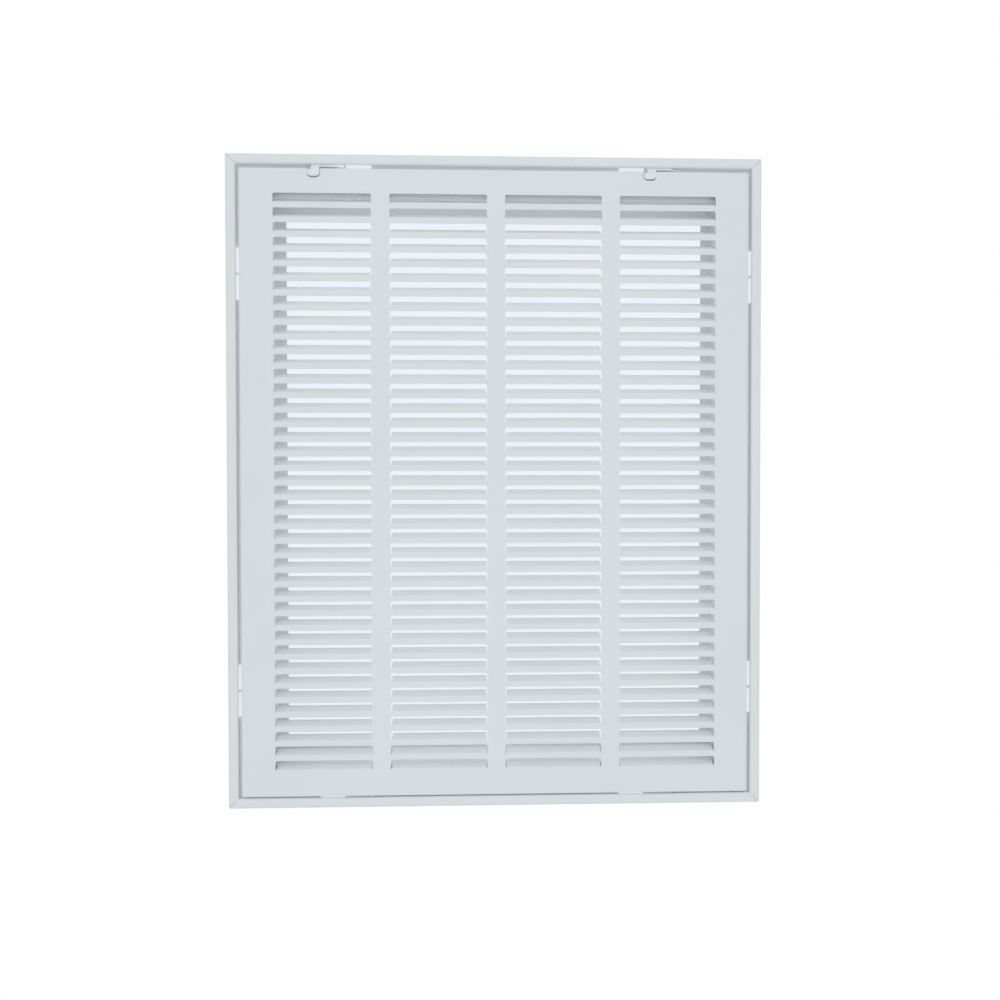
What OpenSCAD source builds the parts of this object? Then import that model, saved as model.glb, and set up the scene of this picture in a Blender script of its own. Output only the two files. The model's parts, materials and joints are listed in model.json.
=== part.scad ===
// Return air filter grille: a mitred steel frame with a stamped louvre door.
// Axes: X to the right, Z up, -Y towards the room. Y = 0 is the wall plane.
// The origin is the middle of the four wall screws, on the wall plane.
// The door turns about a pin line along its bottom edge, behind its face.

/* [Duct and frame] */
// Nominal width of the duct opening, in mm
duct_w = 406.4; // [254:12.7:610]
// Nominal height of the duct opening
duct_h = 508; // [254:12.7:762]
// How far the face overlaps the wall past the duct opening, on each side
overhang = 31.75; // [28:0.25:45]
// Play between the collar and the duct opening, on each side
collar_play = 4.4; // [3:0.1:8]
// Sheet thickness of the frame rails
rail_t = 0.7; // [0.5:0.1:1]
// Width of the flat rim that frames the door
rim_w = 9; // [7:0.5:14]
// Height of the rim's face above the wall
rim_h = 6.4; // [6:0.1:10]
// Bend radius of the rim's two front edges, at mid sheet
rim_round = 2; // [1:0.1:2.2]
// Depth of the collar behind the wall plane
collar_d = 26; // [20:1:60]
// Width of the lip that stops the filter
lip_w = 9.5; // [6:0.5:14]
// Hairline left open along each mitre
mitre_gap = 0.2; // [0.1:0.05:0.3]

/* [Door] */
// Gap between the rim and the door at each side
gap_side = 2.8; // [2:0.1:4]
// Gap above the door, where the latches run
gap_top = 3.4; // [3:0.1:5]
// Gap below the door
gap_bottom = 1.2; // [1.1:0.1:2]
// Sheet thickness of the door
door_t = 0.7; // [0.5:0.1:0.8]
// Depth of the turned edge at the top of the door, which rests on the ledge
flange_top = 5.65; // [5.3:0.05:5.65]
// Depth of the turned edges at the sides and bottom
flange_low = 4.5; // [3:0.1:4.6]

/* [Louvres] */
// Distance from one slat to the next
slat_pitch = 12.7; // [9:0.1:16]
// Height of the flat strip left between two openings
strip_h = 4.3; // [3:0.1:6]
// Number of louvre columns
columns = 4; // [1:1:6]
// Margin of the face beside the outer columns
margin_side = 29.4; // [28:0.1:45]
// Width of the flat bar between two columns
bar_w = 16.1; // [8:0.1:30]
// Margin of the face below the lowest opening
margin_bottom = 23.5; // [23:0.1:40]
// Least margin above the highest opening
margin_top = 21; // [20.5:0.1:40]
// Lean of each vane, counted back from the face
vane_lean = 60; // [40:1:75]
// Length of the vane behind its bend
vane_len = 7.8; // [5:0.1:8]
// Open slit at each end of a vane
vane_slit = 1; // [0.5:0.1:2]
// Corner radius of an opening
opening_r = 2; // [0.5:0.1:3]

/* [Slots, holes and rivets] */
// Distance from a corner of the face to the middle of a slot pair
pair_from_corner = 103; // [70:1:140]
// Length of one slot
slot_l = 22; // [18:0.5:28]
// Web between the two slots of a pair
slot_web = 2; // [1:0.5:5]
// How far a slot reaches into the ledge
slot_ledge = 3; // [2:0.5:5]
// Distance of the wall screws from the sides of the face
screw_in = 22.95; // [16:0.05:26]
// Distance between the wall screws up the frame
screw_z = 240; // [100:10:400]
// Diameter of the wall screw holes
screw_d = 4.8; // [4:0.1:6]
// Diameter of the two small holes in the collar's top wall
tag_d = 3; // [2:0.1:4]
// Distance between those two holes
tag_gap = 10; // [6:0.5:20]
// Leg length of a corner angle
angle_leg = 18; // [14:1:30]
// Depth of a corner angle
angle_d = 14; // [10:1:20]
// Sheet thickness of a corner angle
angle_t = 0.8; // [0.6:0.1:1]
// Diameter of a rivet shank
rivet_d = 3.2; // [2.4:0.1:4]

/* [Latches] */
// Distance of the left latch's neck from the left end of its slot
neck_left_at = 1.85; // [0.6:0.05:9]
// Distance of the right latch's neck from the left end of its slot
neck_right_at = 7.55; // [0.6:0.05:9]
// Width of the finger tab
tab_w = 10.6; // [8:0.1:12]
// Height of the finger tab below its shoulder
tab_h = 6; // [4.5:0.1:10]
// Width of the stem that carries the tab over the door's edge
stem_w = 6.1; // [4:0.1:8]
// Length of the latch bar, from the tab's middle to its far end
bar_l = 26.5; // [22:0.5:32]
// Sheet thickness of a latch
latch_t = 0.8; // [0.5:0.1:1]
// Length of the neck that runs in the slot
neck_l = 8; // [6:0.5:8]
// Room beside the tab in the door's notch
notch_side = 0.2; // [0.2:0.05:0.8]
// Room below the tab in the door's notch
notch_drop = 1.6; // [0.5:0.1:2.5]

/* [Hinges] */
// Diameter of a hinge pin
pin_d = 2; // [1.6:0.1:2.2]
// Distance from the door's front and bottom edge to the pin line
pin_inset = 2.25; // [2.2:0.05:2.4]
// Length of a knuckle
knuckle_l = 18; // [12:0.5:18]
// Thickness of a bracket's ear, along the pin
ear_t = 2.7; // [1.5:0.1:3]

/* [Hidden] */
$fn = 32;
eps = 0.01;

// Frame sizes that follow from the driving ones
face_w = duct_w + 2 * overhang;
face_h = duct_h + 2 * overhang;
collar_u = overhang + collar_play;
lip_u = collar_u + rail_t + lip_w;
bend_r = 0.9;
bend_steps = 3;
mitre_reach = lip_u + 4;
collar_x = face_w / 2 - collar_u;
collar_z = face_h / 2 - collar_u;
wall_z = face_h / 2 - rim_w;
back_room = 4;

// Door sizes: the door hangs gap_bottom above the bottom rim
front_y = -rim_h;
door_w = face_w - 2 * (rim_w + gap_side);
door_z0 = -wall_z + gap_bottom;
door_z1 = wall_z - gap_top;
door_back = front_y + door_t;
edge_in = 2;
opening_h = slat_pitch - strip_h;
window_z = door_z0 + margin_bottom;
slat_rows = floor((door_z1 - door_z0 - margin_bottom - margin_top + strip_h) / slat_pitch);
column_w = (door_w - 2 * margin_side - (columns - 1) * bar_w) / columns;
column_pitch = column_w + bar_w;
arc_mid = cos(45);
vane_rise = bend_r * tan(vane_lean / 2) + 0.1;
vane_w = column_w - 2 * vane_slit;

// Hinge line and the parts about it
axis_y = front_y + pin_inset;
axis_z = door_z0 + pin_inset;
pin_play = 0.06;
pin_seat = 0.02;
knuckle_r = pin_inset - door_t - 0.05;
ear_r = pin_inset - door_t - 0.15;
ear_slope = 20;
knuckle_gap = 0.3;
bracket_t = 0.7;
bracket_w = knuckle_l + 2 * (knuckle_gap + ear_t);
bracket_h = 12;
toe_h = 0.6;
toe_y = axis_y - 0.7;
tongue_w = 20;
plate_z0 = -wall_z + bend_r - rail_t / 2 + 0.03;
tongue_l = 2.6;
leaf_t = 0.6;
leaf_h = 11;
head_r = 1.35;
head_h = 0.5;
cutout_room = 1.5;
pair_step = (slot_l + slot_web) / 2;
pair_x = face_w / 2 - pair_from_corner;
pair_z = face_h / 2 - pair_from_corner;
slot_y0 = front_y + rail_t / 2 + rim_round;
tag_x = -pair_x + 7;
tag_y = bend_r - rail_t / 2 + tag_d / 2 + 0.05;
hinge_left_x = -pair_x + pair_step;
hinge_right_x = pair_x + pair_step;

// Latch sizes: the bar is a channel, open downwards, just under the top rim's inner wall
play = 0.1;
fold_r = 0.6;
bar_z1 = wall_z - play;
bar_y0 = front_y + 1.2;
bar_y1 = -rail_t - 0.4;
front_z0 = door_z1 + 1.5;
back_z0 = door_z1 + 0.45;
hook_z0 = wall_z + rail_t + play;
tab_y1 = front_y - 0.5;
tab_r = 3;
tab_top = door_z1 - 1.3;
tab_z0 = tab_top - tab_h;
stem_x0 = tab_w / 2 - stem_w;
stem_z = door_z1 + 0.25 + latch_t / 2;
neck_x0 = tab_w / 2;
latch_left_x = -pair_x - pair_step - slot_l / 2 + neck_left_at - neck_x0;
latch_right_x = pair_x + pair_step - slot_l / 2 + neck_right_at - neck_x0;
hook_over = 8;
finger_l = 7;
finger_dip = 1.1;

// Rivet sizes
rivet_play = 0.05;
rivet_inset = 10;
rivet_y = 13;
rivet_head_r = 2.9;
rivet_head_h = 0.5;
rivet_tail_r = 2.4;
rivet_tail_h = 0.7;

paint = [0.86, 0.88, 0.88];
steel = [0.72, 0.73, 0.74];

// Direction helpers for the folded sections
function unit(v) = v / norm(v);
function left_of(v) = [-v[1], v[0]];
function turn(v, a) = [v[0] * cos(a) - v[1] * sin(a), v[0] * sin(a) + v[1] * cos(a)];
function bend_angle(a, b) = atan2(a[0] * b[1] - a[1] * b[0], a * b);
function backwards(list) = [for (i = [len(list) - 1:-1:0]) list[i]];

// One side of a bend: an arc about the bend's centre, off the sheet's middle line by off
function bend_side(path, i, r, off, steps) =
  let (
    d1 = unit(path[i] - path[i - 1]),
    a = bend_angle(d1, unit(path[i + 1] - path[i])),
    g = a > 0 ? 1 : -1,
    centre = path[i] - d1 * r * tan(abs(a) / 2) + left_of(d1) * g * r
  )
  [for (k = [0:steps]) centre + left_of(turn(d1, a * k / steps)) * (off - g * r)];

// One whole side of a folded sheet, from its first edge to its last, with a radius for each bend
function sheet_side(path, radii, off, steps) =
  let (
    n = len(path),
    first = path[0] + left_of(unit(path[1] - path[0])) * off,
    last = path[n - 1] + left_of(unit(path[n - 1] - path[n - 2])) * off
  )
  concat([first], [for (i = [1:n - 2]) each bend_side(path, i, radii[i - 1], off, steps)], [last]);

// Outline of a folded sheet of thickness t whose middle line follows path
function sheet(path, radii, t, steps) =
  concat(sheet_side(path, radii, t / 2, steps), backwards(sheet_side(path, radii, -t / 2, steps)));

// Rail section: turned edge, rim, inner wall, ledge, collar and lip. First number counts in from the edge
rail_path = [
  [rail_t / 2, 0],
  [rail_t / 2, front_y + rail_t / 2],
  [rim_w - rail_t / 2, front_y + rail_t / 2],
  [rim_w - rail_t / 2, -rail_t / 2],
  [collar_u + rail_t / 2, -rail_t / 2],
  [collar_u + rail_t / 2, collar_d - rail_t / 2],
  [lip_u, collar_d - rail_t / 2]
];
rail_bends = [rim_round, rim_round, bend_r, bend_r, bend_r];

// Lays a section along X at the bottom of a rectangle that is 2 * half tall
module along_bottom(length, half) {
  translate([0, 0, -half])
    rotate([0, -90, 0])
      linear_extrude(height = length, center = true)
        children();
}

// The region of the bottom member between its two mitre cuts
module mitre_wedge(length, half, reach, gap) {
  translate([0, collar_d + back_room, 0])
    rotate([90, 0, 0])
      linear_extrude(height = collar_d + rim_h + 2 * back_room)
        polygon([
          [-length / 2 + gap, -half - eps],
          [length / 2 - gap, -half - eps],
          [length / 2 - gap - reach, -half + reach],
          [-length / 2 + gap + reach, -half + reach]
        ]);
}

// One slot, cut through the corner between the rim's inner wall and the ledge
module corner_slot(x, half) {
  translate([x - slot_l / 2, slot_y0, -half + rim_w - rail_t - eps])
    cube([slot_l, 1 - slot_y0, rail_t + slot_ledge + eps]);
}

// The two slot pairs of a rail, pair_at from its middle
module slot_pairs(half, pair_at) {
  for (side = [-1, 1])
    for (step = [-1, 1])
      corner_slot(side * pair_at + step * pair_step, half);
}

// Rivet holes through the collar near its ends
module collar_rivet_holes(half, end) {
  for (side = [-1, 1])
    translate([side * (end - rivet_inset), rivet_y, -half + collar_u - 1])
      cylinder(h = rail_t + 2, d = rivet_d + 2 * rivet_play);
}

// A rail lying along the bottom, with its slots and rivet holes
module rail(length, half, pair_at) {
  difference() {
    intersection() {
      along_bottom(length, half) polygon(sheet(rail_path, rail_bends, rail_t, bend_steps));
      mitre_wedge(length, half, mitre_reach, mitre_gap * 0.707);
    }
    slot_pairs(half, pair_at);
    collar_rivet_holes(half, length / 2 - collar_u);
  }
}

// The top rail is the bottom one turned over, with two small holes in the collar, just behind the ledge
module rail_top() {
  color(paint)
    difference() {
      rotate([0, 180, 0]) rail(face_w, face_h / 2, pair_x);
      for (side = [-1, 1])
        translate([tag_x + side * tag_gap / 2, tag_y, collar_z - rail_t - 1])
          cylinder(h = rail_t + 2, d = tag_d);
    }
}

module rail_bottom() {
  color(paint) rail(face_w, face_h / 2, pair_x);
}

// Side rails carry the wall screw holes, in the ledge that the door hides
module side_rail(turn_to, side) {
  color(paint)
    difference() {
      rotate([0, turn_to, 0]) rail(face_h, face_w / 2, pair_z);
      for (end = [-1, 1])
        translate([side * (face_w / 2 - screw_in), 1, end * screw_z / 2])
          rotate([90, 0, 0]) cylinder(h = rail_t + 2, d = screw_d);
    }
}

module rail_left() {
  side_rail(90, -1);
}

module rail_right() {
  side_rail(-90, 1);
}

// A corner angle outside the collar, with a hole in each leg. sx and sz are the corner's signs
module corner_angle(sx, sz) {
  color(steel)
    difference() {
      translate([sx * collar_x, rivet_y + angle_d / 2, sz * collar_z])
        rotate([90, 0, 0])
          linear_extrude(height = angle_d)
            polygon([
              [sx * angle_t, sz * angle_t],
              [sx * angle_t, -sz * angle_leg],
              [0, -sz * angle_leg],
              [0, 0],
              [-sx * angle_leg, 0],
              [-sx * angle_leg, sz * angle_t]
            ]);
      rivet_places(sx, sz)
        translate([0, 0, -3]) cylinder(h = 6, d = rivet_d + 2 * rivet_play);
    }
}

// Turns +Z outwards at each of the two rivets of a corner, on the collar's outer face
module rivet_places(sx, sz) {
  translate([sx * (collar_x - rivet_inset), rivet_y, sz * collar_z])
    rotate([sz > 0 ? 0 : 180, 0, 0]) children();
  translate([sx * collar_x, rivet_y, sz * (collar_z - rivet_inset)])
    rotate([0, sx * 90, 0]) children();
}

// A rivet through the collar and the angle, with a domed head outside and a flat tail inside
module rivet() {
  translate([0, 0, -rail_t]) cylinder(h = rail_t + angle_t, d = rivet_d);
  translate([0, 0, angle_t]) cylinder(h = rivet_head_h, r = rivet_head_r);
  translate([0, 0, angle_t + rivet_head_h])
    cylinder(h = rivet_head_h, r1 = rivet_head_r, r2 = rivet_head_r / 2);
  translate([0, 0, -rail_t - rivet_tail_h]) cylinder(h = rivet_tail_h, r = rivet_tail_r);
}

module corner_angle_tl() {
  corner_angle(-1, 1);
}

module corner_angle_tr() {
  corner_angle(1, 1);
}

module corner_angle_bl() {
  corner_angle(-1, -1);
}

module corner_angle_br() {
  corner_angle(1, -1);
}

module corner_rivets() {
  color(steel)
    for (sx = [-1, 1])
      for (sz = [-1, 1])
        rivet_places(sx, sz) rivet();
}

// Outline of one opening: square at its foot, rounded at its top corners
function opening(x, z) =
  let (h = column_w / 2, r = opening_r, top = opening_h)
  [
    [x - h, z],
    [x + h, z],
    [x + h, z + top - r],
    [x + h - r + r * arc_mid, z + top - r + r * arc_mid],
    [x + h - r, z + top],
    [x - h + r, z + top],
    [x - h + r - r * arc_mid, z + top - r + r * arc_mid],
    [x - h, z + top - r]
  ];

// Middles of the louvre columns and feet of the openings
column_x = [for (i = [0:columns - 1]) (i - (columns - 1) / 2) * column_pitch];
opening_z = [for (k = [0:slat_rows - 1]) window_z + k * slat_pitch];
openings = [for (x = column_x) for (z = opening_z) opening(x, z)];
corners = len(openings[0]);
blank = [
  [-door_w / 2 + edge_in, door_z0 + edge_in],
  [door_w / 2 - edge_in, door_z0 + edge_in],
  [door_w / 2 - edge_in, door_z1 - edge_in],
  [-door_w / 2 + edge_in, door_z1 - edge_in]
];

// The pierced face: one outline with every opening as a hole in it
module pierced_face() {
  translate([0, door_back, 0])
    rotate([90, 0, 0])
      linear_extrude(height = door_t)
        polygon(
          points = concat(blank, [for (o = openings) each o]),
          paths = concat(
            [[0, 1, 2, 3]],
            [for (i = [0:len(openings) - 1]) [for (k = [0:corners - 1]) 4 + i * corners + k]]
          )
        );
}

// Middle line of a vane from the opening's foot at [front, 0]
vane_path = [
  [front_y + door_t / 2, 0],
  [front_y + door_t / 2, vane_rise],
  [front_y + door_t / 2 + vane_len * sin(vane_lean), vane_rise + vane_len * cos(vane_lean)]
];

// Vanes: the metal of each opening, leaned back about the opening's foot
module vanes() {
  for (x = column_x)
    for (z = opening_z)
      translate([x, 0, z])
        rotate([90, 0, 90])
          linear_extrude(height = vane_w, center = true)
            polygon(sheet(vane_path, [bend_r], door_t, 1));
}

// Section of a turned edge, depth deep. First number counts in from the door's edge
function edge_path(depth) = [
  [door_t / 2, front_y + depth],
  [door_t / 2, front_y + door_t / 2],
  [edge_in, front_y + door_t / 2]
];

// One turned edge along the bottom of a rectangle that is 2 * half tall
module door_edge(length, half, depth) {
  intersection() {
    along_bottom(length, half) polygon(sheet(edge_path(depth), [bend_r], door_t, bend_steps));
    mitre_wedge(length, half, edge_in + 1, 0);
  }
}

// The four turned edges, about the middle of the door
module door_edges() {
  h = door_z1 - door_z0;
  translate([0, 0, (door_z0 + door_z1) / 2]) {
    door_edge(door_w, h / 2, flange_low);
    rotate([0, 180, 0]) door_edge(door_w, h / 2, flange_top);
    rotate([0, 90, 0]) door_edge(h, door_w / 2, flange_low);
    rotate([0, -90, 0]) door_edge(h, door_w / 2, flange_low);
  }
}

// Front view of a tongue w wide from z0 up to z1, with its lower corners rounded
module round_foot(w, z0, z1, r) {
  for (side = [-1, 1])
    translate([side * (w / 2 - r), z0 + r]) circle(r = r);
  translate([-w / 2 + r, z0]) square([w - 2 * r, r + eps]);
  translate([-w / 2, z0 + r]) square([w, z1 - z0 - r]);
}

// A notch in the top edge that lets a latch's tab pass when it stands over it
module latch_notch(x) {
  translate([x, 0, 0])
    rotate([90, 0, 0])
      linear_extrude(height = rim_h + 1)
        round_foot(tab_w + 2 * notch_side, tab_z0 - notch_drop, door_z1 + 1, tab_r + 1);
}

// Room for a hinge bracket in the bottom turned edge
module hinge_cutout(x) {
  w = bracket_w + 2 * cutout_room;
  translate([x - w / 2, door_back, door_z0 - 1])
    cube([w, rim_h, 1 + bend_r + door_t]);
}

module face_panel() {
  color(paint) {
    difference() {
      union() {
        pierced_face();
        door_edges();
      }
      latch_notch(latch_left_x);
      latch_notch(latch_right_x);
      hinge_cutout(hinge_left_x);
      hinge_cutout(hinge_right_x);
    }
    vanes();
  }
}

// A bar along X on the hinge line
module on_hinge_line(x, length, r) {
  translate([x - length / 2, axis_y, axis_z]) rotate([0, 90, 0]) cylinder(h = length, r = r);
}

// Knuckle: a leaf on the back of the face, rolled round the pin
module hinge_knuckle(x) {
  color(steel)
    difference() {
      union() {
        on_hinge_line(x, knuckle_l, knuckle_r);
        translate([x - knuckle_l / 2, door_back, axis_z]) cube([knuckle_l, leaf_t, leaf_h]);
      }
      on_hinge_line(x, knuckle_l + 1, pin_d / 2 + pin_play);
    }
}

module hinge_knuckle_left() {
  hinge_knuckle(hinge_left_x);
}

module hinge_knuckle_right() {
  hinge_knuckle(hinge_right_x);
}

// Side view of an ear: round the pin, then back to the plate, clear of the open door
module ear_profile() {
  plate = -rail_t - bracket_t - axis_y;
  circle(r = ear_r);
  polygon([
    [0, ear_r],
    [ear_r * sin(ear_slope), -ear_r * cos(ear_slope)],
    [plate + eps, -ear_r / cos(ear_slope) + (plate + eps) * tan(ear_slope)],
    [plate + eps, ear_r + 2]
  ]);
}

// Bracket: a plate on the ledge with two ears, two toes and a tongue through the slot
module hinge_bracket(x) {
  w = bracket_w;
  plate_y = -rail_t - bracket_t;
  color(steel)
    difference() {
      union() {
        translate([x - w / 2, plate_y, plate_z0]) cube([w, bracket_t, bracket_h]);
        translate([x - tongue_w / 2, plate_y, -wall_z - tongue_l])
          cube([tongue_w, bracket_t, tongue_l + plate_z0 + wall_z + eps]);
        for (side = [-1, 1])
          translate([x + side * (w - ear_t) / 2, 0, 0]) {
            translate([0, axis_y, axis_z])
              rotate([90, 0, 90])
                linear_extrude(height = ear_t, center = true) ear_profile();
            translate([-ear_t / 2, toe_y, -wall_z]) cube([ear_t, plate_y - toe_y + eps, toe_h]);
          }
      }
      on_hinge_line(x, w + 1, pin_d / 2 + pin_seat);
    }
}

module hinge_bracket_left() {
  hinge_bracket(hinge_left_x);
}

module hinge_bracket_right() {
  hinge_bracket(hinge_right_x);
}

// Pins: a shank from ear to ear with a head at each end
module hinge_pins() {
  color(steel)
    for (x = [hinge_left_x, hinge_right_x]) {
      on_hinge_line(x, bracket_w + 2 * pin_seat, pin_d / 2);
      for (side = [-1, 1])
        on_hinge_line(x + side * (bracket_w / 2 + pin_seat + head_h / 2), head_h, head_r);
    }
}

// Middle line of the stem: up the tab, back over the door's edge and up the bar's front
stem_path = [
  [tab_y1 - latch_t / 2, tab_top - 0.5],
  [tab_y1 - latch_t / 2, stem_z],
  [bar_y0 + latch_t / 2, stem_z],
  [bar_y0 + latch_t / 2, front_z0 + 0.5]
];

// Middle line of the bar: up its front, back and down its rear
bar_path = [
  [bar_y0 + latch_t / 2, front_z0],
  [bar_y0 + latch_t / 2, bar_z1 - latch_t / 2],
  [bar_y1 - latch_t / 2, bar_z1 - latch_t / 2],
  [bar_y1 - latch_t / 2, back_z0]
];

// A folded strip of a latch along X
module folded(path, x0, length) {
  translate([x0, 0, 0])
    rotate([90, 0, 90])
      linear_extrude(height = length) polygon(sheet(path, [fold_r, fold_r], latch_t, bend_steps));
}

// The end of the bar's front, which slopes down to the door's edge
module bar_finger() {
  x0 = bar_l - finger_l;
  translate([0, bar_y0 + latch_t, 0])
    rotate([90, 0, 0])
      linear_extrude(height = latch_t)
        polygon([
          [x0 - eps, front_z0],
          [bar_l, front_z0 - finger_dip],
          [bar_l, front_z0],
          [x0 - eps, bar_z1 - fold_r]
        ]);
}

// Latch: a tab in front of the door, a bar in the gap, a neck through the slot and a hook behind
module latch(x) {
  rear = bar_y1 - latch_t;
  color(paint)
    translate([x, 0, 0]) {
      translate([0, tab_y1, 0])
        rotate([90, 0, 0])
          linear_extrude(height = latch_t) round_foot(tab_w, tab_z0, tab_top, tab_r);
      folded(stem_path, stem_x0, stem_w);
      folded(bar_path, stem_x0, bar_l - finger_l - stem_x0);
      bar_finger();
      translate([bar_l - finger_l - eps, rear, back_z0])
        cube([finger_l + eps, latch_t, bar_z1 - back_z0 - fold_r]);
      translate([neck_x0, rear, bar_z1 - latch_t]) cube([neck_l, latch_t, hook_z0 - bar_z1 + 2 * latch_t]);
      translate([neck_x0 - hook_over, slot_y0 + play, hook_z0])
        cube([neck_l + 2 * hook_over, bar_y1 - slot_y0 - play, latch_t]);
    }
}

module latch_left() {
  latch(latch_left_x);
}

module latch_right() {
  latch(latch_right_x);
}

rail_top();
rail_bottom();
rail_left();
rail_right();
corner_angle_tl();
corner_angle_tr();
corner_angle_bl();
corner_angle_br();
corner_rivets();
face_panel();
hinge_knuckle_left();
hinge_knuckle_right();
hinge_bracket_left();
hinge_bracket_right();
hinge_pins();
latch_left();
latch_right();
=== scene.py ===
import json
import math

import bmesh
import bpy
import numpy as np
from mathutils import Matrix


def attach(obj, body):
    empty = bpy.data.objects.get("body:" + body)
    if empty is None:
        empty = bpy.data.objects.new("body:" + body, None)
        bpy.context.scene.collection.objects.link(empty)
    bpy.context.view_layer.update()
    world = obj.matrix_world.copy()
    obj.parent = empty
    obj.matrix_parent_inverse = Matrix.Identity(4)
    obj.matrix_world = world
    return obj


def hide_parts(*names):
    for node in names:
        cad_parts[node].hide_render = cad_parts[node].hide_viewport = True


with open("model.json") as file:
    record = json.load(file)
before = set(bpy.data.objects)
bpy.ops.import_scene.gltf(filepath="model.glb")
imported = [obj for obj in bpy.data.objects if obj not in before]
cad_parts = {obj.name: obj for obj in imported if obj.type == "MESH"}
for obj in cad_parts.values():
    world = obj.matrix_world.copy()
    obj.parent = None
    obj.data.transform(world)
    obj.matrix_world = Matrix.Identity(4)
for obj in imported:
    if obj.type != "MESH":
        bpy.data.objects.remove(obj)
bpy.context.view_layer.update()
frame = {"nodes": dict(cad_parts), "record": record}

nodes = frame["nodes"]
mm = 0.001
weld = 0.0005  # points closer than this are one, in mm
flatAngle = 0.5  # faces within this many degrees of each other are one flat area
sharpAngle = 35  # edges that turn by more degrees than this are softened
overshoot = 1.0  # how far a cut runs on past the metal, in mm
hingeAcross = (-119.95, 143.95)  # middles of the two hinges, in mm
latchAcross = (-158.4, 135.2)  # middles of the two latches, in mm

# The white coat, and the bare metals behind the wall. Sizes are in features to a metre, depths in metres
coat = {
    "colour": (0.835, 0.850, 0.860),
    "variation": 0.012,  # share by which the tone drifts either way
    "driftSize": 7.0,
    "roughness": (0.40, 0.50),
    "peelSize": 900.0,
    "peelDepth": 0.00002,
}
zinc = {
    "colour": (0.56, 0.58, 0.60),
    "dark": (0.42, 0.44, 0.46),
    "spangle": 260.0,
    "roughness": (0.32, 0.52),
    "depth": 0.00002,
}
bareMetal = {
    "colour": (0.60, 0.60, 0.61),
    "dark": 0.85,  # share of the colour that the darkest lines have
    "roughness": (0.24, 0.38),
    "lines": 4200.0,
    "stretch": 0.02,  # scale of the pattern along the lines
    "depth": 0.00001,
}


# A material with a Principled surface, and its node tree
def newMaterial(name):
    material = bpy.data.materials.new(name)
    material.use_nodes = True
    return material, material.node_tree, material.node_tree.nodes["Principled BSDF"]


# The object's own coordinates
def placeOf(tree):
    return tree.nodes.new("ShaderNodeTexCoord").outputs["Object"]


# Grey noise with scale features to a metre
def noiseOf(tree, place, scale, detail=2.0, roughness=0.5):
    noise = tree.nodes.new("ShaderNodeTexNoise")
    noise.inputs["Scale"].default_value = scale
    noise.inputs["Detail"].default_value = detail
    noise.inputs["Roughness"].default_value = roughness
    tree.links.new(place, noise.inputs["Vector"])
    return noise.outputs["Fac"]


# Maps noise, which lies mostly between 0.3 and 0.7, onto low to high
def spread(tree, value, low, high):
    node = tree.nodes.new("ShaderNodeMapRange")
    node.inputs["From Min"].default_value = 0.3
    node.inputs["From Max"].default_value = 0.7
    node.inputs["To Min"].default_value = low
    node.inputs["To Max"].default_value = high
    tree.links.new(value, node.inputs["Value"])
    return node.outputs["Result"]


# A colour between first and second, by value
def twoColours(tree, value, first, second):
    mix = tree.nodes.new("ShaderNodeMix")
    mix.data_type = "RGBA"
    mix.inputs["A"].default_value = (*first, 1.0)
    mix.inputs["B"].default_value = (*second, 1.0)
    tree.links.new(value, mix.inputs["Factor"])
    return mix.outputs["Result"]


# Raises the surface by value times depth metres
def bumpOf(tree, surface, value, depth):
    bump = tree.nodes.new("ShaderNodeBump")
    bump.inputs["Distance"].default_value = depth
    bump.inputs["Strength"].default_value = 1.0
    tree.links.new(value, bump.inputs["Height"])
    tree.links.new(bump.outputs["Normal"], surface.inputs["Normal"])


# Baked white powder: a faint drift of tone over a hand's width, and a fine orange peel
def powderCoat(name, lift=1.0):
    material, tree, surface = newMaterial(name)
    place = placeOf(tree)
    base = np.array(coat["colour"]) * lift
    drift = spread(tree, noiseOf(tree, place, coat["driftSize"]), 0.0, 1.0)
    pale = tuple(base * (1 + coat["variation"]))
    deep = tuple(base * (1 - coat["variation"]))
    tree.links.new(twoColours(tree, drift, deep, pale), surface.inputs["Base Color"])
    peel = noiseOf(tree, place, coat["peelSize"], roughness=0.4)
    tree.links.new(spread(tree, peel, *coat["roughness"]), surface.inputs["Roughness"])
    bumpOf(tree, surface, peel, coat["peelDepth"])
    return material


# Zinc sheet: patches of spangle in two greys, with their own gloss
def galvanised(name):
    material, tree, surface = newMaterial(name)
    place = placeOf(tree)
    cells = tree.nodes.new("ShaderNodeTexVoronoi")
    cells.inputs["Scale"].default_value = zinc["spangle"]
    tree.links.new(place, cells.inputs["Vector"])
    tones = twoColours(tree, cells.outputs["Distance"], zinc["dark"], zinc["colour"])
    tree.links.new(tones, surface.inputs["Base Color"])
    patches = noiseOf(tree, place, zinc["spangle"], detail=3.0)
    tree.links.new(spread(tree, patches, *zinc["roughness"]), surface.inputs["Roughness"])
    bumpOf(tree, surface, patches, zinc["depth"])
    surface.inputs["Metallic"].default_value = 1.0
    return material


# Drawn wire or rivet metal: fine lines along X
def drawnMetal(name, lift=1.0):
    material, tree, surface = newMaterial(name)
    stretch = tree.nodes.new("ShaderNodeMapping")
    stretch.inputs["Scale"].default_value = (bareMetal["stretch"], 1.0, 1.0)
    tree.links.new(placeOf(tree), stretch.inputs["Vector"])
    lines = noiseOf(tree, stretch.outputs["Vector"], bareMetal["lines"])
    base = np.array(bareMetal["colour"]) * lift
    tones = twoColours(tree, lines, tuple(base * bareMetal["dark"]), tuple(base))
    tree.links.new(tones, surface.inputs["Base Color"])
    tree.links.new(spread(tree, lines, *bareMetal["roughness"]), surface.inputs["Roughness"])
    bumpOf(tree, surface, lines, bareMetal["depth"])
    surface.inputs["Metallic"].default_value = 1.0
    return material


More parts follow.
